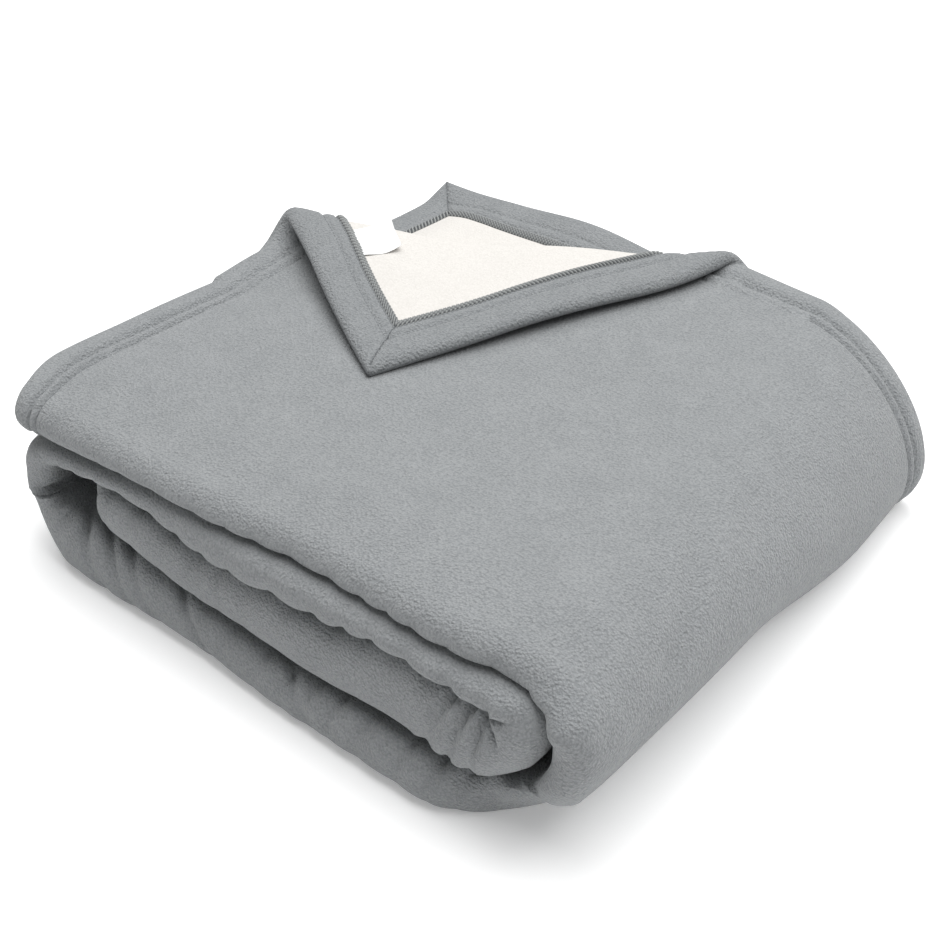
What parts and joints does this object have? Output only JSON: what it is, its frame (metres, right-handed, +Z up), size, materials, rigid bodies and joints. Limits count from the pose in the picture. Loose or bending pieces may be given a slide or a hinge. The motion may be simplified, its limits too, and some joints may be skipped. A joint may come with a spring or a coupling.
{
  "type": "folded throw blanket",
  "caption": "Two-sided fleece throw, folded in four and wound into a flat stack, with its top corner turned back to show the pale reverse, mitred hem and a care label.",
  "frame": {"origin": "centre of the stack's footprint, at the height of the surface that it lies on", "axes": "+X towards the big round spine fold, along the stack's longest side; -Y towards the puffy folded edges and +Y towards the hemmed edges; +Z up, the shortest side"},
  "size_m": [0.4248, 0.39, 0.1323],
  "materials": {
    "grey_fleece": "soft anti-pill fleece nap, mid grey, faint lighter sheen",
    "hem_fleece": "the same grey fleece, turned over and pressed as a hem",
    "cream_reverse": "smooth brushed cream reverse, very short pile",
    "seam_thread": "grey polyester sewing thread",
    "overlock_thread": "grey and off-white overlock threads",
    "label_satin": "thin white satin ribbon, blank"
  },
  "bodies": {
    "bundle": {"bottom_layer": "grey_fleece", "left_fold": "grey_fleece", "second_layer": "grey_fleece", "inner_right_fold": "grey_fleece", "third_layer": "grey_fleece", "inner_left_fold": "grey_fleece", "fourth_layer": "grey_fleece", "inner_end_hem": "hem_fleece", "spine_fold": "grey_fleece", "spine_topstitch": "seam_thread", "top_layer_bend": "grey_fleece"},
    "top_flap": {"fourth_ply": "grey_fleece", "third_ply": "grey_fleece", "back_fold": "grey_fleece", "outer_front_fold": "grey_fleece", "inner_front_fold": "grey_fleece", "second_ply_fleece": "grey_fleece", "second_ply_reverse": "cream_reverse", "second_ply_left_hem": "hem_fleece", "second_ply_back_hem": "hem_fleece", "second_ply_overlock": "overlock_thread", "second_ply_mitre_seam": "seam_thread", "second_ply_topstitch": "seam_thread", "top_ply_fleece": "grey_fleece", "top_ply_reverse": "cream_reverse", "top_ply_left_hem": "hem_fleece", "top_ply_back_hem": "hem_fleece", "top_ply_topstitch": "seam_thread", "crease_fleece": "grey_fleece", "crease_reverse": "cream_reverse"},
    "corner_flap": {"corner_fleece": "grey_fleece", "corner_reverse": "cream_reverse", "corner_left_hem": "hem_fleece", "corner_back_hem": "hem_fleece", "corner_overlock": "overlock_thread", "corner_mitre_seam": "seam_thread", "corner_topstitch": "seam_thread", "label_stitching": "label_satin"},
    "care_label": {"care_label": "label_satin"}
  },
  "joints": [
    {"name": "top_layer_lift", "type": "hinge", "parent": "bundle", "child": "top_flap", "pos_m": [0.12655, 0, 0.1054], "axis": [0, 1, 0], "range_deg": [0, 120], "deforming": ["top_layer_bend"]},
    {"name": "corner_turn", "type": "hinge", "parent": "top_flap", "child": "corner_flap", "pos_m": [-0.09296, 0.08937, 0.11918], "axis": [0.8376, 0.5464, 0], "range_deg": [-186.15, 0], "deforming": ["crease_fleece", "crease_reverse"]},
    {"name": "label_flip", "type": "hinge", "parent": "corner_flap", "child": "care_label", "pos_m": [-0.13433, 0.01834, 0.12845], "axis": [0.9126, -0.399, -0.0897], "range_deg": [0, 150], "deforming": ["care_label"]}
  ]
}
